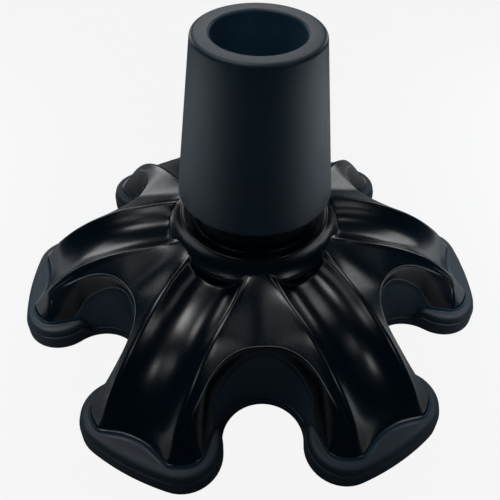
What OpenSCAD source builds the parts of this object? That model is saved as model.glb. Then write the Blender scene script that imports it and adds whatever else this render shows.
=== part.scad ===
// Six-legged rubber tip for the foot of a walking cane, moulded in one piece.
// The bore axis is +Z, the origin is the centre of the sole on the floor,
// and one leg points along +X.

/* [Socket] */
// Height of the whole tip
total_h = 74.9; // [66:0.1:85]
// Radius of the bore that takes the cane
bore_r = 9.5; // [8:0.1:10.5]
// Depth of the blind bore below the rim
bore_depth = 38; // [20:1:44]
// Rounding of the bore's mouth
mouth_round = 0.7; // [0.2:0.1:1.5]
// Outer radius of the socket at its rim
rim_r = 13.35; // [12.6:0.05:15]
// Rounding of the rim's outer edge
rim_round = 0.9; // [0.2:0.1:1.5]
// Outer radius of the socket at its lower edge
skirt_r = 17.6; // [16:0.1:19]
// Height of the socket's lower edge above the floor
skirt_z = 37.2; // [34:0.1:42]
// Rounding of the socket's lower edge
skirt_round = 0.6; // [0.2:0.1:1]

/* [Neck and collar] */
// Radius of the recessed neck under the socket
neck_r = 14.4; // [12.5:0.1:15.5]
// Rounding where the neck meets the socket
neck_round = 1; // [0.2:0.1:1.5]
// Fall of the ledge from the collar's lip in to the neck
collar_dish = 1; // [0.2:0.1:1.4]
// Width of the flat lip on the collar's edge
collar_lip = 0.8; // [0.2:0.1:1.5]
// Radius of the collar's upper edge
collar_r = 17.5; // [16.5:0.1:18.5]
// Height of the collar's upper edge
collar_z = 30.2; // [28.5:0.1:31.5]
// Radius of the foot of the collar's hollow flank, which shows in the channels
flank_r = 20.6; // [20:0.1:21.5]
// Height of the foot of the collar's hollow flank
flank_z = 25.9; // [25.4:0.1:26]
// Depth of the hollow in the collar's flank
flank_hollow = 0.5; // [0:0.1:1.2]

/* [Sole] */
// Radius over the tips of the feet
foot_r = 57.9; // [55:0.1:62]
// Radius of each foot's corner
corner_r = 8.55; // [7:0.05:10]
// Angle of the corner's centre from the leg's axis
corner_a = 9.57; // [8:0.01:11]
// Distance of the notch's centre from the bore axis
notch_at = 43.5; // [42:0.1:45.5]
// Thickness of the sole under the feet
sole_h = 6; // [4.5:0.1:7]
// Thickness of the sole at the head of each notch
notch_sole_h = 2.2; // [1.5:0.1:3.5]
// Where the thick sole of a foot drops to the notch's thin edge, as parts of the way
// from the lobe's wall to the arch's springing
drop_from = 0.7; // [0.5:0.01:0.8]
drop_to = 0.94; // [0.85:0.01:1]
// Height of the mould's seam, as a part of the sole's thickness
seam_part = 0.68; // [0.4:0.01:0.8]
// Step of the sole's side at the seam
seam_step = 0.35; // [0.1:0.05:0.6]

/* [Leg walls] */
// Distance along the leg of the rounded lobe's centre
lobe_x = 49.6; // [48:0.1:51]
// Distance of the lobe's centre from the leg's axis
lobe_y = 8.6; // [8.2:0.1:9.5]
// Radius of the lobe
lobe_r = 5.4; // [5:0.1:6]
// How far the leg's end is set back between its two lobes
tip_dip = 1.6; // [0:0.1:2.5]
// Distance of the notch wall's centre from the bore axis
arch_at = 44.2; // [43.8:0.1:46]
// Radius of the notch wall
arch_r = 10.1; // [9.6:0.1:10.6]
// Rounding from the lobe's wall to the ridge
lobe_round = 4.8; // [3:0.1:5]
// Rounding at the arch's springing, beside the foot
spring_round = 2.3; // [1.2:0.1:3]
// Rounding of the arch's edge at the notch's head
arch_round = 0.7; // [0.5:0.1:2]
// How square the wall's section is at the lobe, the springing and the notch's head
lobe_power = 2; // [1.5:0.1:3]
spring_power = 1.6; // [1.2:0.1:3]
arch_power = 5; // [2:0.5:6]
// How square the section of the sole's top edge is
ledge_power = 3.2; // [2:0.1:4]

/* [Leg tops] */
// Distance of each ridge from the leg's axis
ridge_y = 7.6; // [6.8:0.1:8]
// How much closer to the axis the ridge starts, inside the core
ridge_pinch = 1.3; // [0:0.1:1.5]
// Length over which the ridge reaches its full distance
pinch_run = 9; // [6:0.5:12]
// Height of the ridges at the collar
ridge_z = 26.3; // [26.3:0.1:27]
// Steady fall of a ridge, millimetres for each millimetre outwards
ridge_slope = 0.17; // [0.1:0.01:0.2]
// Further fall of a ridge where it curls down to the lobe
ridge_curl = 13.4; // [11:0.1:13.6]
// Depth of the channel between the ridges at the collar
channel_in = 3.2; // [1:0.1:5]
// Depth of the channel between the ridges at the leg's end
channel_out = 2.9; // [1:0.1:3.2]
// Fall of the leg's side beyond the ridge, millimetres for each millimetre
side_slope = 0.75; // [0.4:0.05:1]
// Length from the collar's flank to where that fall sets in, and over which it sets in
side_run = 9; // [8:0.5:11]
// Height of the web between two legs at the collar
web_z = 26.6; // [26.4:0.1:27]
// Height of the web at the crown of each arch
arch_z = 20.6; // [19:0.1:22.5]

/* [Hidden] */

// Fixed layout of the star
legs = 6;
half_a = 180 / legs;

// Facets of the turned faces and steps of their curves
turned_fn = 96;
fillet_steps = 6;
flank_steps = 8;

// Steps of the star's mesh: around half a leg, then up and in to the core
n_tip = 5;
n_lobe = 5;
n_line = 4;
n_arc = 6;
n_half = n_tip + n_lobe + n_line + n_arc;
n_side = 3;
n_round = 6;
n_top = 10;

// Where the star is buried in the core, and the core in the star
star_in_r = 18;
star_cap_r = 10;
star_cap_z = 22;
core_z = 8;

// Shape of the channel's section, and how close to the ridge counts as on it
cross_power = 2.5;
on_ridge = 0.001;

function polar(r, a) = r * [cos(a), sin(a)];
function lerp(a, b, t) = a + (b - a) * t;
function arc(c, r, a0, a1, n) = [for (i = [1:n]) c + polar(r, lerp(a0, a1, i / n))];
function direction(v) = atan2(v[1], v[0]);

// Centres, radii and joints of the sole's outline
corner_c = polar(foot_r - corner_r, corner_a);
notch_c = polar(notch_at, half_a);
notch_r = norm(notch_c - corner_c) - corner_r;
join_a = direction(notch_c - corner_c);

// Centres and the common tangent of the leg walls
lobe_c = [lobe_x, lobe_y];
arch_c = polar(arch_at, half_a);
line_a = direction(arch_c - lobe_c) - acos((lobe_r + arch_r) / norm(arch_c - lobe_c));
line_from = lobe_c + polar(lobe_r, line_a);
line_to = arch_c - polar(arch_r, line_a);
lobe_end_x = lobe_x + lobe_r;

// Half of one foot's outline on the floor, from the tip to the notch's head
outline_half = concat(
    [for (i = [0:n_tip]) polar(foot_r, corner_a * i / n_tip)],
    arc(corner_c, corner_r, corner_a, line_a, n_lobe),
    arc(corner_c, corner_r, line_a, join_a, n_line / 2),
    arc(notch_c, notch_r, join_a + 180, line_a + 180, n_line / 2),
    arc(notch_c, notch_r, line_a + 180, half_a + 180, n_arc));

// Foot of the leg's wall, point for point with the outline
wall_half = concat(
    [for (i = [0:n_tip]) [lobe_end_x - tip_dip * (1 + cos(180 * i / n_tip)) / 2, lobe_y * i / n_tip]],
    arc(lobe_c, lobe_r, 0, line_a, n_lobe),
    [for (i = [1:n_line]) lerp(line_from, line_to, i / n_line)],
    arc(arch_c, arch_r, line_a + 180, half_a + 180, n_arc));

// Place of a point along the side of the leg: 0 at the lobe, 1 at the springing, 2 at the notch's head
function stage(i) =
    i <= n_tip + n_lobe ? 0 :
    i <= n_tip + n_lobe + n_line ? (i - n_tip - n_lobe) / n_line :
    1 + (i - n_tip - n_lobe - n_line) / n_arc;
function ease(t) = let (u = min(1, max(0, t))) u * u * (3 - 2 * u);
function sole_top(i) = lerp(sole_h, notch_sole_h, ease((stage(i) - drop_from) / (drop_to - drop_from)));
function rounding(i) =
    stage(i) <= 1 ?
        lerp(lobe_round, spring_round, stage(i)) :
        lerp(arch_round, spring_round, pow(2 - stage(i), 2));
function power(i) =
    stage(i) <= 1 ? lerp(lobe_power, spring_power, stage(i)) : lerp(spring_power, arch_power, stage(i) - 1);

// How far in and how far up a squared quarter round is at angle a, as parts of its width and height
function squared(a, n) = [1 - pow(max(0, cos(a)), 2 / n), pow(sin(a), 2 / n)];

// Direction into the leg from a point of its wall
function inward(i) =
    i <= n_tip + n_lobe ? 180 + line_a * max(0, i - n_tip) / n_lobe :
    i <= n_tip + n_lobe + n_line ? 180 + line_a :
    180 + lerp(line_a, half_a, stage(i) - 1);

// Ridge of a leg: its distance from the axis, its height, and the channel beside it
function along(x) = max(0, (x - flank_r) / (lobe_end_x - flank_r));
pinch_x = flank_r + 2 * pinch_run / 3;
function narrow(x) = max(0, pinch_x - x) / pinch_run;
function ridge_off(x) = lerp(ridge_y, lobe_y, pow(along(x), 4)) - ridge_pinch * pow(narrow(x), 2);
function ridge_top(x) = ridge_z - ridge_slope * (x - flank_r) - ridge_curl * pow(along(x), 3);
function channel_deep(x) = lerp(channel_in, channel_out, along(x));
function web_top(r) = lerp(web_z, arch_z, (r - flank_r) / (arch_at - arch_r - flank_r));

// Height of the leg's channel or of the web beside it, over a place on the floor plan
function channel_top(p) =
    ridge_top(p[0]) - channel_deep(p[0]) * (1 - pow(p[1] / ridge_off(p[0]), cross_power));
function web_part(p) = min(1, (p[1] - ridge_off(p[0])) / (p[0] * tan(half_a) - ridge_off(p[0])));
side_from = flank_r + side_run;
function side_part(p) = ease((p[0] - side_from) / side_run);
function web_height(p) =
    lerp(ridge_top(p[0]), web_top(p * polar(1, half_a)), (1 - side_part(p)) * (1 - pow(1 - web_part(p), 2)))
        - side_slope * side_part(p) * (p[1] - ridge_off(p[0]));
function top_height(p) = p[1] <= ridge_off(p[0]) + on_ridge ? channel_top(p) : web_height(p);

// Floor-plan place of a spoke's point inside the rounding, and beyond it up to the core
function channel_place(i, x) = [x, wall_half[i][1] * ridge_off(x) / ridge_off(wall_half[i][0])];
function round_place(i, t) =
    i <= n_tip ?
        channel_place(i, wall_half[i][0] - lobe_round * t) :
        wall_half[i] + polar(rounding(i) * t, inward(i));
ridge_in_a = asin(ridge_y / star_in_r);
function inner_place(i) =
    i <= n_tip ?
        let (y = ridge_y * i / n_tip) [sqrt(star_in_r * star_in_r - y * y), y] :
        polar(star_in_r, lerp(ridge_in_a, half_a, (i - n_tip) / (n_half - n_tip)));
function top_place(i, t) =
    i <= n_tip ?
        channel_place(i, lerp(round_place(i, 1)[0], inner_place(i)[0], t)) :
        lerp(round_place(i, 1), inner_place(i), t);

// Rings of points around half a leg, from the floor up and in to the core
function at(p, z) = [p[0], p[1], z];
function ledge_run(i) = wall_half[i] - outline_half[i];
function stepped(i) = outline_half[i] + seam_step * ledge_run(i) / norm(ledge_run(i));
function seam_z(i) = seam_part * sole_top(i);
function floor_ring() = [for (i = [0:n_half]) at(outline_half[i], 0)];
function seam_ring() = [for (i = [0:n_half]) at(outline_half[i], seam_z(i))];
function ledge_ring(a) =
    let (s = squared(a, ledge_power))
    [for (i = [0:n_half]) at(lerp(stepped(i), wall_half[i], s[0]), lerp(seam_z(i), sole_top(i), s[1]))];
function round_ring(a) = [
    for (i = [0:n_half])
        let (s = squared(a, power(i)), p = round_place(i, s[0]))
        at(p, lerp(sole_top(i), top_height(p), s[1]))
];
function top_ring(t) = [for (i = [0:n_half]) let (p = top_place(i, t)) at(p, top_height(p))];
function cap_ring() = [for (i = [0:n_half]) at(star_cap_r / star_in_r * inner_place(i), star_cap_z)];

half_rings = concat(
    [floor_ring(), seam_ring()],
    [for (k = [0:n_side]) ledge_ring(90 * k / n_side)],
    [for (k = [1:n_round]) round_ring(90 * k / n_round)],
    [for (k = [1:n_top]) top_ring(k / n_top)],
    [cap_ring()]);

// A half ring mirrored over the leg's axis and repeated around the star
function turned(p, a) = [p[0] * cos(a) - p[1] * sin(a), p[0] * sin(a) + p[1] * cos(a), p[2]];
function full_ring(half) = [
    for (k = [0:legs - 1], j = [1 - n_half:n_half])
        let (p = half[abs(j)])
        turned([p[0], j < 0 ? -p[1] : p[1], p[2]], k * 2 * half_a)
];
ring_n = 2 * n_half * legs;
ring_count = len(half_rings);

// Two triangles between neighbouring points of neighbouring rings
function band_faces() = [
    for (k = [0:ring_count - 2], j = [0:ring_n - 1])
        let (a = k * ring_n + j, b = k * ring_n + (j + 1) % ring_n)
        each [[a, a + ring_n, b + ring_n], [a, b + ring_n, b]]
];

// The floor: a ladder of triangles across each foot, and a hexagon between the notches
function floor_index(k, j) = (2 * n_half * k + j + n_half - 1 + ring_n) % ring_n;
function floor_rung(k, j) =
    let (a = floor_index(k, j), d = floor_index(k, j + 1))
    let (b = floor_index(k, -j), c = floor_index(k, -j - 1))
    j == 0 ? [[a, d, c]] : [[a, d, c], [a, c, b]];
function floor_faces() = concat(
    [for (k = [0:legs - 1], j = [0:n_half - 1]) each floor_rung(k, j)],
    [[for (k = [0:legs - 1]) floor_index(k, n_half)]]);
function cap_face() = [for (j = [0:ring_n - 1]) ring_count * ring_n - 1 - j];

// Six legs, the webs between them and the sole
module star() {
    polyhedron(
        points = [for (h = half_rings) each full_ring(h)],
        faces = concat(band_faces(), floor_faces(), [cap_face()]),
        convexity = 8);
}

// Quarter round in a turned profile, from angle a0 to a1 about c
function fillet(c, r, a0, a1) = [for (i = [0:fillet_steps]) c + polar(r, lerp(a0, a1, i / fillet_steps))];

// Hollow flank of the collar, from its upper edge down to the legs
flank_run = [flank_r - collar_r, flank_z - collar_z];
flank_in = [flank_run[1], -flank_run[0]] / norm(flank_run);
function flank_points() = [
    for (i = [0:flank_steps])
        let (part = i / flank_steps)
        [collar_r, collar_z] + flank_run * part + flank_hollow * sin(180 * part) * flank_in
];

// Socket, neck and collar as one turned profile
taper_a = atan2(skirt_r - rim_r, total_h - skirt_z);
function core_profile() = concat(
    [[0, core_z], [0, total_h]],
    fillet([rim_r - rim_round, total_h - rim_round], rim_round, 90, -taper_a),
    fillet([skirt_r - skirt_round, skirt_z + skirt_round], skirt_round, -taper_a, -90),
    [
        [neck_r + neck_round, skirt_z],
        [neck_r, skirt_z - neck_round],
        [neck_r, collar_z - collar_dish],
        [collar_r - collar_lip, collar_z]
    ],
    flank_points(),
    [[flank_r, core_z]]);

module core() {
    rotate_extrude($fn = turned_fn) polygon(core_profile());
}

// Blind bore with a rounded mouth
module bore() {
    translate([0, 0, total_h - bore_depth]) cylinder(r = bore_r, h = bore_depth + 1, $fn = turned_fn);
    rotate_extrude($fn = turned_fn)
        polygon(concat(
            [[0, total_h + 1], [0, total_h - mouth_round]],
            fillet([bore_r + mouth_round, total_h - mouth_round], mouth_round, 180, 90),
            [[bore_r + mouth_round, total_h + 1]]));
}

module tip_body() {
    color([0.07, 0.075, 0.08])
        difference() {
            union() {
                core();
                star();
            }
            bore();
        }
}

tip_body();
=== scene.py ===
"""Dresses the six-legged rubber tip of a walking cane: skin, rubber, studio and camera."""

import logging
import math
from dataclasses import dataclass, field
from enum import Enum

import bpy
import numpy as np
from mathutils import Matrix, Vector


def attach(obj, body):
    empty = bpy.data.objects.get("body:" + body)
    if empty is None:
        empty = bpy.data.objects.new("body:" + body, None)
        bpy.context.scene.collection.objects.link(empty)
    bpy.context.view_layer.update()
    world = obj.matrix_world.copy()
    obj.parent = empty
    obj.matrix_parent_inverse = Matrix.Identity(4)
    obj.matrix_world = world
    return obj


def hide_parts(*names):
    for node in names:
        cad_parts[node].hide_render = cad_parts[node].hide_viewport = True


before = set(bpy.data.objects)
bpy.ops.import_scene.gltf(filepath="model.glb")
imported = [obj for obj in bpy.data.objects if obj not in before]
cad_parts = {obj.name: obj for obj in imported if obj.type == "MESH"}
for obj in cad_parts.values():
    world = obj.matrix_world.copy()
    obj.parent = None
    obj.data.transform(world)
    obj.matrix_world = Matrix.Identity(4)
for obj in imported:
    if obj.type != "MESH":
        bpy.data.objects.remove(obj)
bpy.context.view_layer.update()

LOG = logging.getLogger("cane_tip")
MM = 0.001
LEGS = 6
HALF_A = math.pi / LEGS

# Steps to either side, as parts of the crest's width, and their weights
CREST_TAPS = ((-1.0, 1), (-0.5, 3), (0.0, 4), (0.5, 3), (1.0, 1))
CREST_WEIGHT = sum(weight for _, weight in CREST_TAPS)

Value = float | np.ndarray


def lerp(a: Value, b: Value, t: float) -> Value:
    """Returns the value at part t of the way from a to b."""
    return a + (b - a) * t


def ease(t: float) -> float:
    """Returns a smooth step from 0 to 1."""
    t = min(1.0, max(0.0, t))
    return t * t * (3 - 2 * t)


def squared(angle: float, power: float) -> tuple[float, float]:
    """Returns how far in and up a squared quarter round is, as parts of its width and height.

    Args:
        angle: The angle in radians, from 0 at its foot to a right angle at its top.
        power: 2 for a round quarter, more for a squarer one and less for a flatter one.
    """
    c, s = max(0.0, math.cos(angle)), max(0.0, math.sin(angle))
    return 1 - c ** (2 / power), s ** (2 / power)


def polar(radius: float, angle: float) -> np.ndarray:
    """Returns the floor-plan vector of a radius and an angle in radians."""
    return radius * np.array([math.cos(angle), math.sin(angle)])


def direction(v: np.ndarray) -> float:
    """Returns the angle of a floor-plan vector in radians."""
    return math.atan2(v[1], v[0])


def arc(centre: np.ndarray, radius: float, a0: float, a1: float, count: int) -> list[np.ndarray]:
    """Returns the points of an arc without its first one.

    Args:
        centre: The arc's centre on the floor plan.
        radius: Its radius in millimetres.
        a0: Its first angle in radians.
        a1: Its last angle in radians.
        count: How many points it gets.

    Returns:
        The points, from the one after a0 to the one at a1.
    """
    return [centre + polar(radius, lerp(a0, a1, k / count)) for k in range(1, count + 1)]


def lengths(points: np.ndarray) -> np.ndarray:
    """Returns the running length along a polyline, starting with 0."""
    return np.concatenate([[0.0], np.cumsum(np.linalg.norm(np.diff(points, axis=0), axis=1))])


def cut(points: np.ndarray, start: float, end: float) -> np.ndarray:
    """Trims a polyline at both ends.

    Args:
        points: The polyline.
        start: The length to take off at its start.
        end: The length to take off at its end.

    Returns:
        The trimmed polyline with as many points as before.
    """
    run = lengths(points)
    keep = np.linspace(min(start, 0.45 * run[-1]), run[-1] - min(end, 0.45 * run[-1]), len(points))
    return np.stack([np.interp(keep, run, points[:, k]) for k in range(points.shape[1])], axis=1)


def respace(points: np.ndarray, rows: int) -> np.ndarray:
    """Returns a polyline's points moved to equal steps along it."""
    run = lengths(points)
    keep = np.linspace(0, run[-1], rows)
    return np.stack([np.interp(keep, run, points[:, k]) for k in range(points.shape[1])], axis=1)


class Zone(Enum):
    """Where on the tip a stretch of its skin lies.

    Each value is how polished the place is, and how far its colour is lightened by dust and by
    painted light.
    """

    UNDERSIDE = (0.0, 0.6)
    SOLE = (-0.6, 0.2)
    # Notch walls: lighter partly for their matte finish, and partly as painted bounce light from
    # the floor.
    WALL = (0.1, 1.0)
    LEG = (1.0, 0.0)
    COLLAR = (0.9, 0.0)
    NECK = (0.6, 0.0)
    SOCKET = (0.0, 0.75)
    # Bore: its inner wall is painted much lighter, as painted light that falls into the deep bore.
    BORE = (0.0, 4.0)


@dataclass
class Run:
    """One stretch of the skin's section, from a corner to the next.

    Attributes:
        points: Its dense points.
        rows: How many rows of the mesh it gets.
        zone: Where it lies.
        blend: Length that the rounding at its end takes from it and from the next stretch.
        blend_rows: Rows of that rounding.
        edge_highlight: How far it is painted with a light grey line, a painted highlight on the
            arch's crest.
        matte: How far it has lost its polish.
    """

    points: np.ndarray
    rows: int
    zone: Zone
    blend: float = 0.0
    blend_rows: int = 0
    edge_highlight: float = 0.0
    matte: float = 0.0

    @property
    def marks(self) -> np.ndarray:
        """Returns its polish, its dust and painted light, and its painted edge highlight."""
        polish, dust_and_painted_light = self.zone.value
        return np.array([polish * (1 - self.matte), dust_and_painted_light, self.edge_highlight])


def chain(runs: list[Run]) -> tuple[np.ndarray, list[np.ndarray]]:
    """Joins the stretches of a section with rounded corners.

    Args:
        runs: The stretches, in order.

    Returns:
        The section's points, and for each of them the polish, the dust and painted light, and the
        painted edge highlight.
    """
    rows, marks = [], []
    for k, run in enumerate(runs):
        before = runs[k - 1].blend if k else 0.0
        kept = cut(run.points, before, run.blend)
        shared = int(k > 0 and not before)
        rows.append(respace(kept, run.rows + shared)[shared:])
        marks += [run.marks] * run.rows
        if run.blend:
            after = runs[k + 1]
            start, corner = kept[-1], run.points[-1]
            end = cut(after.points, run.blend, after.blend)[0]
            for j in range(1, run.blend_rows + 1):
                t = j / (run.blend_rows + 1)
                bend = (1 - t) ** 2 * start + 2 * t * (1 - t) * corner + t * t * end
                rows.append(bend[None, :])
                marks.append(lerp(run.marks, after.marks, t))
    return np.concatenate(rows), marks


@dataclass
class Steps:
    """Steps of the skin's mesh around half a leg."""

    tip: int = 12
    lobe: int = 12
    line: int = 8
    arch: int = 14

    @property
    def half(self) -> int:
        """Returns the number of steps around half a leg."""
        return self.tip + self.lobe + self.line + self.arch

    def stage(self, i: int) -> float:
        """Returns a spoke's place along the leg's side.

        It is 0 at the lobe, 1 at the springing and 2 at the notch's head.
        """
        past = i - self.tip - self.lobe
        if past <= 0:
            return 0.0
        if past <= self.line:
            return past / self.line
        return 1 + (past - self.line) / self.arch


@dataclass
class LegWalls:
    """Walls of a leg on the floor plan: its end between two lobes, and the arch over the notch."""

    steps: Steps
    lobe_x: float = 49.6
    lobe_y: float = 8.6
    lobe_r: float = 5.4
    tip_dip: float = 1.6
    arch_at: float = 44.2
    arch_r: float = 10.1
    lobe_round: float = 4.8
    spring_round: float = 2.3
    arch_round: float = 0.7
    lobe_power: float = 2.0
    spring_power: float = 1.6
    arch_power: float = 5.0
    line_a: float = field(init=False)
    end_x: float = field(init=False)
    foot: list[np.ndarray] = field(init=False)

    def __post_init__(self) -> None:
        """Works out the common tangent of lobe and arch, and the foot of the wall."""
        s = self.steps
        lobe_c, arch_c = np.array([self.lobe_x, self.lobe_y]), polar(self.arch_at, HALF_A)
        between = arch_c - lobe_c
        reach = (self.lobe_r + self.arch_r) / np.linalg.norm(between)
        self.line_a = direction(between) - math.acos(reach)
        self.end_x = self.lobe_x + self.lobe_r
        start = lobe_c + polar(self.lobe_r, self.line_a)
        stop = arch_c - polar(self.arch_r, self.line_a)
        dips = [self.tip_dip * (1 + math.cos(math.pi * k / s.tip)) / 2 for k in range(s.tip + 1)]
        tip = [np.array([self.end_x - dip, self.lobe_y * k / s.tip]) for k, dip in enumerate(dips)]
        self.foot = (
            tip
            + arc(lobe_c, self.lobe_r, 0, self.line_a, s.lobe)
            + [lerp(start, stop, k / s.line) for k in range(1, s.line + 1)]
            + arc(arch_c, self.arch_r, self.line_a + math.pi, HALF_A + math.pi, s.arch)
        )

    def inward(self, i: int) -> float:
        """Returns the direction into the leg from a spoke's place on the wall."""
        s = self.steps
        if i <= s.tip + s.lobe:
            return math.pi + self.line_a * max(0, i - s.tip) / s.lobe
        return math.pi + lerp(self.line_a, HALF_A, max(0.0, s.stage(i) - 1))

    def rounding(self, i: int) -> float:
        """Returns how far the top edge's rounding reaches into the leg."""
        stage = self.steps.stage(i)
        if stage <= 1:
            return lerp(self.lobe_round, self.spring_round, stage)
        return lerp(self.arch_round, self.spring_round, (2 - stage) ** 2)

    def power(self, i: int) -> float:
        """Returns how square the wall's section is at a spoke."""
        stage = self.steps.stage(i)
        if stage <= 1:
            return lerp(self.lobe_power, self.spring_power, stage)
        return lerp(self.spring_power, self.arch_power, stage - 1)


@dataclass
class Sole:
    """Flat sole: six rounded feet, the notches between them, and the mould's seam on its side."""

    walls: LegWalls
    foot_r: float = 57.9
    corner_r: float = 8.55
    corner_a: float = math.radians(9.57)
    notch_at: float = 43.5
    height: float = 6.0
    notch_height: float = 2.2
    drop_from: float = 0.7
    drop_to: float = 0.94
    ledge_power: float = 3.2
    seam_part: float = 0.68
    seam_step: float = 0.35
    seam_depth: float = 0.35
    seam_rise: float = 0.25
    seam_fall: float = 0.3
    edge_round: float = 0.45
    margin: float = 1.2
    outline: list[np.ndarray] = field(init=False)

    def __post_init__(self) -> None:
        """Works out the outline, spoke for spoke with the walls."""
        s, line_a = self.walls.steps, self.walls.line_a
        corner_c = polar(self.foot_r - self.corner_r, self.corner_a)
        notch_c = polar(self.notch_at, HALF_A)
        notch_r = np.linalg.norm(notch_c - corner_c) - self.corner_r
        join_a = direction(notch_c - corner_c)
        half = s.line // 2
        self.outline = (
            [polar(self.foot_r, self.corner_a * k / s.tip) for k in range(s.tip + 1)]
            + arc(corner_c, self.corner_r, self.corner_a, line_a, s.lobe)
            + arc(corner_c, self.corner_r, line_a, join_a, half)
            + arc(notch_c, notch_r, join_a + math.pi, line_a + math.pi, s.line - half)
            + arc(notch_c, notch_r, line_a + math.pi, HALF_A + math.pi, s.arch)
        )

    def top(self, i: int) -> float:
        """Returns the sole's height at a spoke."""
        part = (self.walls.steps.stage(i) - self.drop_from) / (self.drop_to - self.drop_from)
        return lerp(self.height, self.notch_height, ease(part))

    def runs(self, i: int) -> list[Run]:
        """Returns a spoke's stretches from the underside up to the wall's foot."""
        out, wall, top = self.outline[i], self.walls.foot[i], self.top(i)
        inner = (wall - out) / np.linalg.norm(wall - out)
        seam_z = self.seam_part * top
        small = top / self.height
        stepped = out + self.seam_step * inner
        ledge = []
        for a in np.linspace(0, math.pi / 2, 60):
            across, up = squared(a, self.ledge_power)
            ledge.append([*lerp(stepped, wall, across), lerp(seam_z + self.seam_rise, top, up)])
        groove = out + (self.seam_step + self.seam_depth * small) * inner
        low_z, high_z = seam_z - self.seam_fall, seam_z + self.seam_rise

        def straight(a: np.ndarray, az: float, b: np.ndarray, bz: float) -> np.ndarray:
            """Returns the dense points of a straight stretch."""
            return np.linspace([*a, az], [*b, bz], 12)

        under = straight(out + self.margin * inner, 0, out, 0)
        return [
            Run(under, 2, Zone.UNDERSIDE, self.edge_round, 3),
            Run(straight(out, 0, out, low_z), 4, Zone.SOLE, 0.2, 2),
            Run(straight(out, low_z, groove, seam_z), 2, Zone.SOLE, 0.12, 1),
            Run(straight(groove, seam_z, stepped, high_z), 2, Zone.SOLE, 0.1, 1),
            Run(np.array(ledge), 9, Zone.SOLE, 0.35 * small, 2),
        ]


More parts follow.
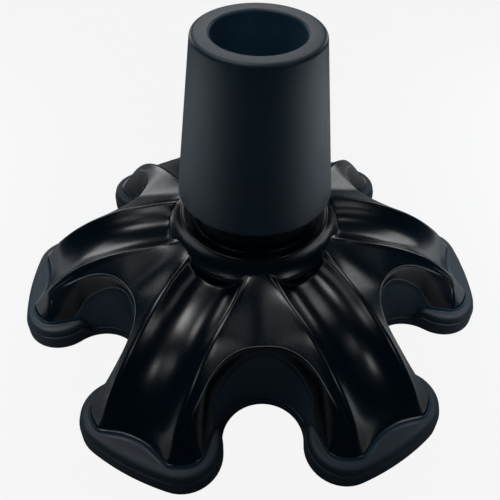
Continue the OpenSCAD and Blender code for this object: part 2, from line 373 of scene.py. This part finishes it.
@dataclass
class LegTops:
    """Tops of the legs: two ridges on each, the channel between them, and the webs."""

    walls: LegWalls
    flank_r: float = 20.6
    ridge_y: float = 7.6
    pinch: float = 1.3
    pinch_x: float = 26.6
    pinch_run: float = 9.0
    ridge_z: float = 26.3
    ridge_slope: float = 0.17
    ridge_curl: float = 13.4
    channel_in: float = 3.2
    channel_out: float = 2.9
    web_z: float = 26.6
    arch_z: float = 20.6
    side_x: float = 29.6
    side_run: float = 9.0
    side_slope: float = 0.75
    panel_low: float = 6.0
    panel_high: float = 19.0
    panel_reach: float = 1.55
    panel_power: float = 1.15
    panel_least: float = 0.5
    bead: float = 0.12
    bead_gap: float = 0.3
    cross_power: float = 2.5
    inner_r: float = 18.0
    crest: float = 0.5
    crest_line: float = 0.4
    web_matte: float = 0.35

    def along(self, x: float) -> float:
        """Returns a place's part of the way from the collar to the leg's end."""
        return max(0.0, (x - self.flank_r) / (self.walls.end_x - self.flank_r))

    def ridge_off(self, x: float) -> float:
        """Returns the ridge's distance from the leg's axis."""
        narrow = max(0.0, self.pinch_x - x) / self.pinch_run
        return lerp(self.ridge_y, self.walls.lobe_y, self.along(x) ** 4) - self.pinch * narrow**2

    def ridge_top(self, x: float) -> float:
        """Returns the ridge's height."""
        fall = self.ridge_slope * (x - self.flank_r)
        return self.ridge_z - fall - self.ridge_curl * self.along(x) ** 3

    def bare_height(self, x: float, y: float) -> float:
        """Returns the height of the channel or web over a place, with a crease along the ridge."""
        y = abs(y)
        off, ridge = self.ridge_off(x), self.ridge_top(x)
        if y <= off:
            deep = lerp(self.channel_in, self.channel_out, self.along(x))
            return ridge - deep * (1 - (y / off) ** self.cross_power)
        part = min(1.0, (y - off) / max(1e-6, x * math.tan(HALF_A) - off))
        r = x * math.cos(HALF_A) + y * math.sin(HALF_A)
        arch_x = self.walls.arch_at - self.walls.arch_r
        web = lerp(self.web_z, self.arch_z, (r - self.flank_r) / (arch_x - self.flank_r))
        past = ease((x - self.side_x) / self.side_run)
        share = (1 - past) * (1 - (1 - part) ** 2)
        return lerp(ridge, web, share) - self.side_slope * past * (y - off)

    def height(self, p: np.ndarray) -> float:
        """Returns the height over a place, with the ridge's crest rounded."""
        near = [w * self.bare_height(p[0], p[1] + d * self.crest) for d, w in CREST_TAPS]
        return sum(near) / CREST_WEIGHT

    def channel_place(self, i: int, x: float) -> np.ndarray:
        """Returns the place of a channel's spoke at a distance along the leg."""
        foot = self.walls.foot[i]
        return np.array([x, foot[1] * self.ridge_off(x) / self.ridge_off(foot[0])])

    def round_place(self, i: int, t: float) -> np.ndarray:
        """Returns a spoke's place at part t of the top edge's rounding."""
        w = self.walls
        if i <= w.steps.tip:
            return self.channel_place(i, w.foot[i][0] - w.lobe_round * t)
        return w.foot[i] + polar(w.rounding(i) * t, w.inward(i))

    def inner_place(self, i: int) -> np.ndarray:
        """Returns a spoke's place where the star is buried in the core."""
        s = self.walls.steps
        if i <= s.tip:
            y = self.ridge_y * i / s.tip
            return np.array([math.sqrt(self.inner_r**2 - y * y), y])
        start = math.asin(self.ridge_y / self.inner_r)
        return polar(self.inner_r, lerp(start, HALF_A, (i - s.tip) / (s.half - s.tip)))

    def top_place(self, i: int, t: float) -> np.ndarray:
        """Returns a spoke's place at part t of the way from the edge's rounding to the core."""
        start, end = self.round_place(i, 1), self.inner_place(i)
        if i <= self.walls.steps.tip:
            return self.channel_place(i, lerp(start[0], end[0], t))
        return lerp(start, end, t)

    def rise(self, i: int, foot_z: float) -> np.ndarray:
        """Returns the dense points of a spoke's wall, from its foot to the leg's top."""
        points = []
        for a in np.linspace(0, math.pi / 2, 80):
            across, up = squared(a, self.walls.power(i))
            p = self.round_place(i, across)
            points.append([*p, lerp(foot_z, self.height(p), up)])
        return np.array(points)

    def top(self, i: int, socket: "Socket") -> np.ndarray:
        """Returns the dense points of a spoke on the leg's top, up to where it meets the core."""
        points = []
        for t in np.linspace(0, 1, 120):
            p = self.top_place(i, t)
            points.append([*p, self.height(p)])
        points = np.array(points)
        clear = np.linalg.norm(points[:, :2], axis=1) - socket.radius(points[:, 2])
        last = int(np.argmax(clear < 0))
        part = clear[last - 1] / (clear[last - 1] - clear[last])
        return np.concatenate([points[:last], [lerp(points[last - 1], points[last], part)]])

    def panel_z(self, i: int, foot_z: float) -> float:
        """Returns the height of the thin flash line on the wall, which arches over the notch."""
        turn = min(1.0, (2 - self.walls.steps.stage(i)) / self.panel_reach)
        bow = math.cos(math.pi / 2 * turn) ** self.panel_power
        return max(foot_z + self.panel_least, lerp(self.panel_low, self.panel_high, bow))

    def painted_highlight_span(self, rest: np.ndarray) -> tuple[int, int]:
        """Returns the first and last point of the painted highlight line, from where the wall
        passes 45 degrees.
        """
        step = np.diff(rest, axis=0)
        flatter = step[:, 2] < np.hypot(step[:, 0], step[:, 1])
        corner = min(len(rest) - 12, max(3, int(np.argmax(flatter))))
        count = max(2, int(self.crest_line / lengths(rest)[1]))
        return corner, min(len(rest) - 4, corner + count)

    def runs(self, i: int, foot_z: float, socket: "Socket") -> list[Run]:
        """Returns a spoke's stretches from the wall's foot over the leg's top to the core.

        Args:
            i: The spoke.
            foot_z: The height of the wall's foot.
            socket: The turned upper part, which the leg's top runs into.

        Returns:
            The stretches, in order.
        """
        rise = self.rise(i, foot_z)
        edge_z = self.panel_z(i, foot_z)
        split = int(np.argmax(rise[:, 2] >= edge_z))
        part = (edge_z - rise[split - 1, 2]) / (rise[split, 2] - rise[split - 1, 2])
        edge = lerp(rise[split - 1], rise[split], part)
        away = np.array([*polar(-1, self.walls.inward(i)), 0])
        crown = edge + self.bead * away + [0, 0, self.bead]
        bead = np.array([edge, crown, edge + [0, 0, 2 * self.bead]])
        above = rise[rise[:, 2] > edge[2] + self.bead_gap]
        rest = respace(np.concatenate([bead[-1:], above]), 160)
        corner, line_end = self.painted_highlight_span(rest)
        stage = self.walls.steps.stage(i)
        # Painted highlight: a light line along the crest of the arch over the notch.
        edge_highlight = ease((stage - 0.3) / 0.4)
        matte = self.web_matte * ease((stage - 0.1) / 0.8)
        return [
            Run(np.concatenate([rise[:split], [edge]]), 7, Zone.WALL),
            Run(bead, 4, Zone.WALL),
            Run(rest[: corner + 1], 12, Zone.LEG),
            Run(rest[corner : line_end + 1], 2, Zone.LEG, edge_highlight=edge_highlight),
            Run(rest[line_end:], 4, Zone.LEG),
            Run(self.top(i, socket), 30, Zone.LEG, 0.5, 4, matte=matte),
        ]


@dataclass
class Socket:
    """Turned upper part: the collar, the recessed neck, the tapered socket and its blind bore."""

    total_h: float = 74.9
    bore_r: float = 9.5
    bore_depth: float = 38.0
    mouth_round: float = 0.7
    rim_r: float = 13.35
    rim_round: float = 0.9
    skirt_r: float = 17.6
    skirt_z: float = 37.2
    skirt_round: float = 0.6
    neck_r: float = 14.4
    neck_round: float = 1.0
    collar_dish: float = 1.0
    collar_lip: float = 0.8
    collar_r: float = 17.5
    collar_z: float = 30.2
    flank_r: float = 20.6
    flank_z: float = 25.9
    flank_hollow: float = 0.5
    centre_r: float = 0.5

    def flank(self) -> np.ndarray:
        """Returns the hollow flank's points of radius and height, from its foot up."""
        foot = np.array([self.flank_r, self.flank_z])
        edge = np.array([self.collar_r, self.collar_z])
        slope = foot - edge
        inner = np.array([slope[1], -slope[0]]) / np.linalg.norm(slope)
        parts = np.linspace(1, 0, 20)
        hollows = [self.flank_hollow * math.sin(math.pi * t) for t in parts]
        return np.array([edge + slope * t + hollow * inner for t, hollow in zip(parts, hollows)])

    def radius(self, z: np.ndarray) -> np.ndarray:
        """Returns the core's radius at heights from the legs to the collar's edge."""
        flank = self.flank()
        return np.interp(z, flank[:, 1], flank[:, 0])

    def runs(self, start: np.ndarray) -> list[Run]:
        """Returns a spoke's stretches from the leg's top to the middle of the bore's floor.

        Args:
            start: The point where the spoke meets the core.

        Returns:
            The stretches, in order.
        """
        azimuth = math.atan2(start[1], start[0])
        turned = np.array([math.cos(azimuth), math.sin(azimuth)])

        def lift(profile: list[tuple[float, float]]) -> np.ndarray:
            """Turns points of radius and height onto the spoke."""
            dense = respace(np.array(profile, dtype=float), 40)
            return np.concatenate([dense[:, :1] * turned, dense[:, 1:]], axis=1)

        met = (float(np.hypot(start[0], start[1])), float(start[2]))
        flank = [tuple(p) for p in self.flank() if p[1] > start[2] + 0.1]
        edge = (self.collar_r, self.collar_z)
        lip = (self.collar_r - self.collar_lip, self.collar_z)
        ledge = (self.neck_r, self.collar_z - self.collar_dish)
        under, skirt = (self.neck_r, self.skirt_z), (self.skirt_r, self.skirt_z)
        rim, mouth = (self.rim_r, self.total_h), (self.bore_r, self.total_h)
        floor_z = self.total_h - self.bore_depth
        bottom, centre = (self.bore_r, floor_z), (self.centre_r, floor_z)
        return [
            Run(lift([met, *flank]), 16, Zone.COLLAR, 0.3, 3),
            Run(lift([edge, lip]), 2, Zone.COLLAR, 0.25, 2),
            Run(lift([lip, ledge]), 3, Zone.NECK, 0.5, 3),
            Run(lift([ledge, under]), 4, Zone.NECK, self.neck_round, 4),
            Run(lift([under, skirt]), 3, Zone.NECK, self.skirt_round, 4),
            Run(lift([skirt, rim]), 8, Zone.SOCKET, self.rim_round, 5),
            Run(lift([rim, mouth]), 3, Zone.SOCKET, self.mouth_round, 5),
            Run(lift([mouth, bottom]), 4, Zone.BORE, 1.0, 3),
            Run(lift([bottom, centre]), 2, Zone.BORE),
        ]


@dataclass
class TipSkin:
    """The tip's whole visible skin: one closed mesh of rows and spokes."""

    steps: Steps = field(default_factory=Steps)
    name: str = "rubber_tip"

    def section_grid(self) -> tuple[np.ndarray, np.ndarray]:
        """Returns half a leg's points by spoke and row, and their polish, dust and painted light,
        and painted highlight.
        """
        walls = LegWalls(self.steps)
        sole, tops, socket = Sole(walls), LegTops(walls), Socket()
        spokes, marks = [], []
        for i in range(self.steps.half + 1):
            legs = tops.runs(i, sole.top(i), socket)
            rows, row_marks = chain(sole.runs(i) + legs + socket.runs(legs[-1].points[-1]))
            spokes.append(rows)
            marks.append(row_marks)
        return np.array(spokes), np.array(marks)

    def build(self) -> bpy.types.Object:
        """Builds the skin's object in metres, with polish, dust and painted light, and painted
        highlight as attributes.
        """
        half, marks = self.section_grid()
        n, rows = self.steps.half, half.shape[1]
        around = 2 * n * LEGS
        points, surface = np.zeros((rows, around, 3)), np.zeros((rows, around, 3))
        for leg in range(LEGS):
            turn = 2 * HALF_A * leg
            c, s = math.cos(turn), math.sin(turn)
            rot = np.array([[c, s, 0], [-s, c, 0], [0, 0, 1]])
            for j in range(1 - n, n + 1):
                p = half[abs(j)] * np.array([1, -1 if j < 0 else 1, 1])
                column = leg * 2 * n + j + n - 1
                points[:, column] = p @ rot
                surface[:, column] = marks[abs(j)]
        faces = self.bands(rows, around) + self.floor(n, around) + [self.cap(rows, around)]
        mesh = bpy.data.meshes.new(self.name)
        mesh.from_pydata((points.reshape(-1, 3) * MM).tolist(), [], faces)
        mesh.polygons.foreach_set("use_smooth", [True] * len(mesh.polygons))
        for k, title in enumerate(("polish", "dust_and_painted_light", "edge_highlight")):
            layer = mesh.attributes.new(title, "FLOAT", "POINT")
            layer.data.foreach_set("value", surface[..., k].astype(np.float32).ravel())
        mesh.update()
        tip = bpy.data.objects.new(self.name, mesh)
        bpy.context.collection.objects.link(tip)
        LOG.info("%s: %d faces", self.name, len(mesh.polygons))
        return tip

    @staticmethod
    def bands(rows: int, around: int) -> list[list[int]]:
        """Returns the four-sided faces between neighbouring rows."""
        faces = []
        for k in range(rows - 1):
            for j in range(around):
                a, b = k * around + j, k * around + (j + 1) % around
                faces.append([a, b, b + around, a + around])
        return faces

    @staticmethod
    def floor(n: int, around: int) -> list[list[int]]:
        """Returns the underside's faces: a ladder across each foot and a hexagon between them."""

        def index(leg: int, j: int) -> int:
            """Returns a floor point's index from its leg and spoke."""
            return (2 * n * leg + j + n - 1 + around) % around

        faces = []
        for leg in range(LEGS):
            faces.append([index(leg, 0), index(leg, -1), index(leg, 1)])
            for j in range(1, n):
                faces.append([index(leg, k) for k in (j, -j, -j - 1, j + 1)])
        return faces + [[index(leg, n) for leg in range(LEGS)][::-1]]

    @staticmethod
    def cap(rows: int, around: int) -> list[int]:
        """Returns the small round face in the middle of the bore's floor."""
        return [(rows - 1) * around + j for j in range(around)]


class Signal:
    """A shader socket or number whose operators add Math nodes."""

    def __init__(self, graph: "Graph", value: "bpy.types.NodeSocket | float") -> None:
        """Wraps a socket or a number of a graph."""
        self.graph, self.value = graph, value

    def _math(self, operation: str, first: "Signal | float", second: "Signal | float") -> "Signal":
        """Adds a Math node and returns its result."""
        return self.graph.node("ShaderNodeMath", {"operation": operation}, {0: first, 1: second}, 0)

    def __add__(self, other: "Signal | float") -> "Signal":
        """Returns the sum."""
        return self._math("ADD", self, other)

    __radd__ = __add__

    def __mul__(self, other: "Signal | float") -> "Signal":
        """Returns the product."""
        return self._math("MULTIPLY", self, other)

    def __sub__(self, other: "Signal | float") -> "Signal":
        """Returns the difference."""
        return self._math("SUBTRACT", self, other)


class Graph:
    """A material's or world's node tree."""

    def __init__(self, tree: bpy.types.NodeTree) -> None:
        """Starts from an empty tree."""
        self.tree = tree
        tree.nodes.clear()

    def node(self, kind: str, settings: dict, sockets: dict, output: "str | int | None" = None):
        """Adds a node.

        Args:
            kind: The node's type.
            settings: Its properties, set before its sockets.
            sockets: Values or links of its sockets, by name or index.
            output: The output to return as a signal, by name or index, or None for the node.

        Returns:
            The output's signal, or the node itself.
        """
        node = self.tree.nodes.new(kind)
        for key, value in settings.items():
            setattr(node, key, value)
        for key, value in sockets.items():
            value = value.value if isinstance(value, Signal) else value
            if isinstance(value, bpy.types.NodeSocket):
                self.tree.links.new(value, node.inputs[key])
            else:
                node.inputs[key].default_value = value
        return node if output is None else Signal(self, node.outputs[output])

    def attribute(self, name: str) -> Signal:
        """Returns a mesh attribute's value."""
        return self.node("ShaderNodeAttribute", {"attribute_name": name}, {}, "Fac")

    def noise(self, where: Signal, scale: float, detail: float, rough: float) -> Signal:
        """Returns noise from 0 to 1 over a place in metres."""
        sockets = {"Vector": where, "Scale": scale, "Detail": detail, "Roughness": rough}
        return self.node("ShaderNodeTexNoise", {}, sockets, "Fac")

    def blend(self, mask: Signal, low: "Signal | tuple", high: tuple, clamp: bool = True) -> Signal:
        """Returns a colour between two by a mask.

        Args:
            mask: How far the colour has gone from low to high.
            low: The colour where the mask is 0.
            high: The colour where the mask is 1.
            clamp: Whether the mask is held between 0 and 1.

        Returns:
            The colour.
        """
        start = low if isinstance(low, Signal) else (*low, 1)
        settings = {"data_type": "RGBA", "clamp_factor": clamp}
        return self.node("ShaderNodeMix", settings, {0: mask, 6: start, 7: (*high, 1)}, 2)

    def camera_ray(self) -> Signal:
        """Returns 1 where the camera looks straight at the surface, and 0 elsewhere."""
        return self.node("ShaderNodeLightPath", {}, {}, "Is Camera Ray")


@dataclass(frozen=True)
class RubberFinish:
    """Moulded black rubber, duller on the socket and the sole, and polished on the legs.

    Attributes:
        name: The material's name.
        dull: Colour of the matte zones.
        deep: Colour of the polished zones.
        dust_and_light_tone: Colour that the dust adds, and that the painted light adds on the notch
            walls and in the bore.
        edge_glint_colour: Colour of the painted highlight, a light line along the arch's crest.
        dull_rough: Roughness of the matte zones.
        polish_rough: Roughness of the polished zones.
        grain: Depth of the fine grain in metres.
        cloud_scale: Scale of the soft clouds' noise.
        fine_scale: Scale of the fine mottling's noise.
        pit_scale: Scale of the grain's noise.
        mottle: How far the clouds shift the colour.
        dust_and_light_gain: How much of the dust and painted light the clouds let through.
        highlight_floor: Share of the painted edge highlight that the fine mottling can't hide.
        cloud_rough: How far the clouds shift the roughness.
        fine_rough: How far the fine mottling shifts it.
        relief: Strength of the grain.
    """

    name: str = "black_rubber"
    dull: tuple[float, float, float] = (0.001, 0.008, 0.017)
    deep: tuple[float, float, float] = (0.0001, 0.0018, 0.0052)
    dust_and_light_tone: tuple[float, float, float] = (0.014, 0.036, 0.058)
    edge_glint_colour: tuple[float, float, float] = (0.24, 0.26, 0.27)
    dull_rough: float = 0.42
    polish_rough: float = 0.21
    grain: float = 0.00003
    cloud_scale: float = 55.0
    fine_scale: float = 900.0
    pit_scale: float = 2600.0
    mottle: float = 0.5
    dust_and_light_gain: float = 2.0
    highlight_floor: float = 0.4
    cloud_rough: float = 0.16
    fine_rough: float = 0.1
    relief: float = 0.35

    def make(self) -> bpy.types.Material:
        """Builds the material."""
        material = bpy.data.materials.new(self.name)
        material.use_nodes = True
        g = Graph(material.node_tree)
        where = g.node("ShaderNodeTexCoord", {}, {}, "Object")
        polish = g.attribute("polish")
        cloud = g.noise(where, self.cloud_scale, 4, 0.55)
        fine = g.noise(where, self.fine_scale, 3, 0.6)
        pits = g.noise(where, self.pit_scale, 2, 0.5)
        plain = g.blend(polish + (cloud - 0.5) * self.mottle, self.dull, self.deep)
        # Real dust on the socket and the sole; on the notch walls and in the bore it is also
        # painted light.
        dust_and_painted_light = g.attribute("dust_and_painted_light") * (cloud * self.dust_and_light_gain)
        with_dust_and_light = g.blend(dust_and_painted_light, plain, self.dust_and_light_tone, clamp=False)
        # Painted highlight: a light grey line along the arch's crest, broken up by the fine
        # mottling.
        with_edge_highlight = g.blend(g.attribute("edge_highlight") * (fine + self.highlight_floor), with_dust_and_light, self.edge_glint_colour)
        smooth = self.dull_rough + polish * (self.polish_rough - self.dull_rough)
        rough = smooth + (cloud - 0.5) * self.cloud_rough + (fine - 0.5) * self.fine_rough
        height = pits * 0.5 + fine * 0.5 + cloud * 2.0
        sockets = {"Strength": self.relief, "Distance": self.grain, "Height": height}
        bump = g.node("ShaderNodeBump", {}, sockets, "Normal")
        sockets = {"Base Color": with_edge_highlight, "Roughness": rough, "Normal": bump}
        sockets |= {"Specular IOR Level": 0.5, "IOR": 1.5}
        shader = g.node("ShaderNodeBsdfPrincipled", {}, sockets, "BSDF")
        g.node("ShaderNodeOutputMaterial", {}, {"Surface": shader})
        return material


@dataclass(frozen=True)
class SoftLamp:
    """A square studio soft box around the tip.

    Attributes:
        name: The lamp's name.
        azimuth: Degrees around the tip, from 0 at the photograph's front over 90 at its right.
        elevation: Degrees above the floor.
        size: Its side's length in metres.
        radiance: Its brightness, where 1 is that of white paper in plain light.
        distance: Metres from the tip.
        aim: The point that it faces.
        spread: Degrees of the cone that its grid lets through.
        hub_z: Height in metres of the point that the lamps stand around.
    """

    name: str
    azimuth: float
    elevation: float
    size: float
    radiance: float
    distance: float = 0.8
    aim: tuple[float, float, float] = (0.0, 0.0, 0.03)
    spread: float = 180.0
    hub_z: float = 0.03

    def hang(self) -> None:
        """Adds the lamp to the scene."""
        a, e = math.radians(self.azimuth), math.radians(self.elevation)
        toward = Vector((math.sin(a) * math.cos(e), -math.cos(a) * math.cos(e), math.sin(e)))
        data = bpy.data.lights.new(self.name, "AREA")
        data.shape, data.size = "SQUARE", self.size
        data.energy, data.spread = math.pi * self.size**2 * self.radiance, math.radians(self.spread)
        lamp = bpy.data.objects.new(self.name, data)
        bpy.context.collection.objects.link(lamp)
        lamp.location = Vector((0, 0, self.hub_z)) + self.distance * toward
        lamp.rotation_mode = "QUATERNION"
        lamp.rotation_quaternion = (lamp.location - Vector(self.aim)).to_track_quat("Z", "Y")
        LOG.info("lamp %s: %.2f W", self.name, data.energy)


@dataclass
class Studio:
    """Pale floor, soft lamps and an even world."""

    floor_size: float = 6.0
    floor_drop: float = 0.0002
    floor_glow: float = 0.9
    floor_tone: tuple[float, float, float] = (0.20, 0.213, 0.222)
    world_tone: float = 0.05
    world_tint: tuple[float, float, float] = (0.2, 0.7, 1.0)
    lamps: tuple[SoftLamp, ...] = (
        SoftLamp("overhead_box", 236, 77, 0.18, 9.0),
        SoftLamp("left_box", 236, 54, 0.15, 5.6),
        SoftLamp("front_left_box", 290, 53, 0.16, 1.3),
        SoftLamp("front_left_spot", 317, 53, 0.13, 3.8),
        SoftLamp("front_right_box", 47, 46, 0.14, 3.3),
        SoftLamp("right_box", 74, 57, 0.14, 1.0),
        SoftLamp("back_right_box", 133, 59, 0.17, 2.7),
        SoftLamp("low_back_right", 140, 12, 0.30, 2.2),
        SoftLamp("low_back_left", 213, 9, 0.30, 2.6),
        SoftLamp("left_floor_box", 270, 40, 0.20, 4.5, 0.26, (-0.2, 0.0, 0.0), 50),
        SoftLamp("right_floor_box", 90, 40, 0.20, 6.3, 0.26, (0.2, 0.0, 0.0), 50),
        SoftLamp("back_box", 178, 32, 0.30, 2.1),
    )

    def build(self) -> None:
        """Builds the floor, the lamps and the world."""
        s = self.floor_size / 2
        mesh = bpy.data.meshes.new("floor")
        mesh.from_pydata([(-s, -s, 0), (s, -s, 0), (s, s, 0), (-s, s, 0)], [], [[0, 1, 2, 3]])
        floor = bpy.data.objects.new("floor", mesh)
        bpy.context.collection.objects.link(floor)
        floor.location.z = -self.floor_drop
        mesh.materials.append(self.paper())
        for lamp in self.lamps:
            lamp.hang()
        world = bpy.data.worlds.new("studio")
        bpy.context.scene.world = world
        world.use_nodes = True
        g = Graph(world.node_tree)
        seen = g.camera_ray()
        level = self.world_tone + seen * (1.0 - self.world_tone)
        colour = g.blend(seen, self.world_tint, (1, 1, 1))
        sockets = {"Color": colour, "Strength": level}
        back = g.node("ShaderNodeBackground", {}, sockets, "Background")
        g.node("ShaderNodeOutputWorld", {}, {"Surface": back})

    def paper(self) -> bpy.types.Material:
        """Builds the floor's white paper, which keeps a faint shadow."""
        material = bpy.data.materials.new("floor_paper")
        material.use_nodes = True
        g = Graph(material.node_tree)
        seen = g.camera_ray()
        matte = g.node("ShaderNodeBsdfDiffuse", {}, {"Color": (*self.floor_tone, 1)}, "BSDF")
        sockets = {"Color": (1, 1, 1, 1), "Strength": 1.0}
        glow = g.node("ShaderNodeEmission", {}, sockets, "Emission")
        mask = seen * self.floor_glow
        both = g.node("ShaderNodeMixShader", {}, {0: mask, 1: matte, 2: glow}, "Shader")
        g.node("ShaderNodeOutputMaterial", {}, {"Surface": both})
        return material


@dataclass
class PhotoCamera:
    """Camera solved from the photograph, in millimetres, pixels and degrees."""

    elevation: float = 42.6236
    azimuth: float = -4.3014
    roll: float = 1.5193
    distance: float = 154.5753
    target_z: float = 25.0
    focal: float = 633.8221
    centre: tuple[float, float] = (253.7625, 223.4112)
    frame_size: float = 500.0
    sensor: float = 36.0

    def place(self) -> None:
        """Adds the camera to the scene."""
        e, a, roll = (math.radians(v) for v in (self.elevation, self.azimuth, self.roll))
        back = Vector((math.sin(a) * math.cos(e), -math.cos(a) * math.cos(e), math.sin(e)))
        right = Vector((math.cos(a), math.sin(a), 0))
        up = back.cross(right)
        side = math.cos(roll) * right + math.sin(roll) * up
        rise = -math.sin(roll) * right + math.cos(roll) * up
        data = bpy.data.cameras.new("photo_camera")
        data.sensor_width = self.sensor
        data.lens = self.sensor * self.focal / self.frame_size
        data.shift_x = (self.frame_size / 2 - self.centre[0]) / self.frame_size
        data.shift_y = (self.centre[1] - self.frame_size / 2) / self.frame_size
        data.clip_start = 0.01
        camera = bpy.data.objects.new("photo_camera", data)
        bpy.context.collection.objects.link(camera)
        pose = Matrix((side, rise, back)).transposed().to_4x4()
        pose.translation = (Vector((0, 0, self.target_z)) + self.distance * back) * MM
        camera.matrix_world = pose
        bpy.context.scene.camera = camera
        LOG.info("camera: %.1f mm lens, %.1f mm away", data.lens, self.distance)


def main() -> None:
    """Builds the camera, the tip and the studio in order."""
    logging.basicConfig(level=logging.INFO, format="%(name)s %(message)s")
    PhotoCamera().place()
    tip = TipSkin().build()
    tip.data.materials.append(RubberFinish().make())
    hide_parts("tip_body")
    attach(tip, "root")
    Studio().build()
    bpy.context.scene.view_settings.view_transform = "Standard"


if __name__ == "__main__":
    main()
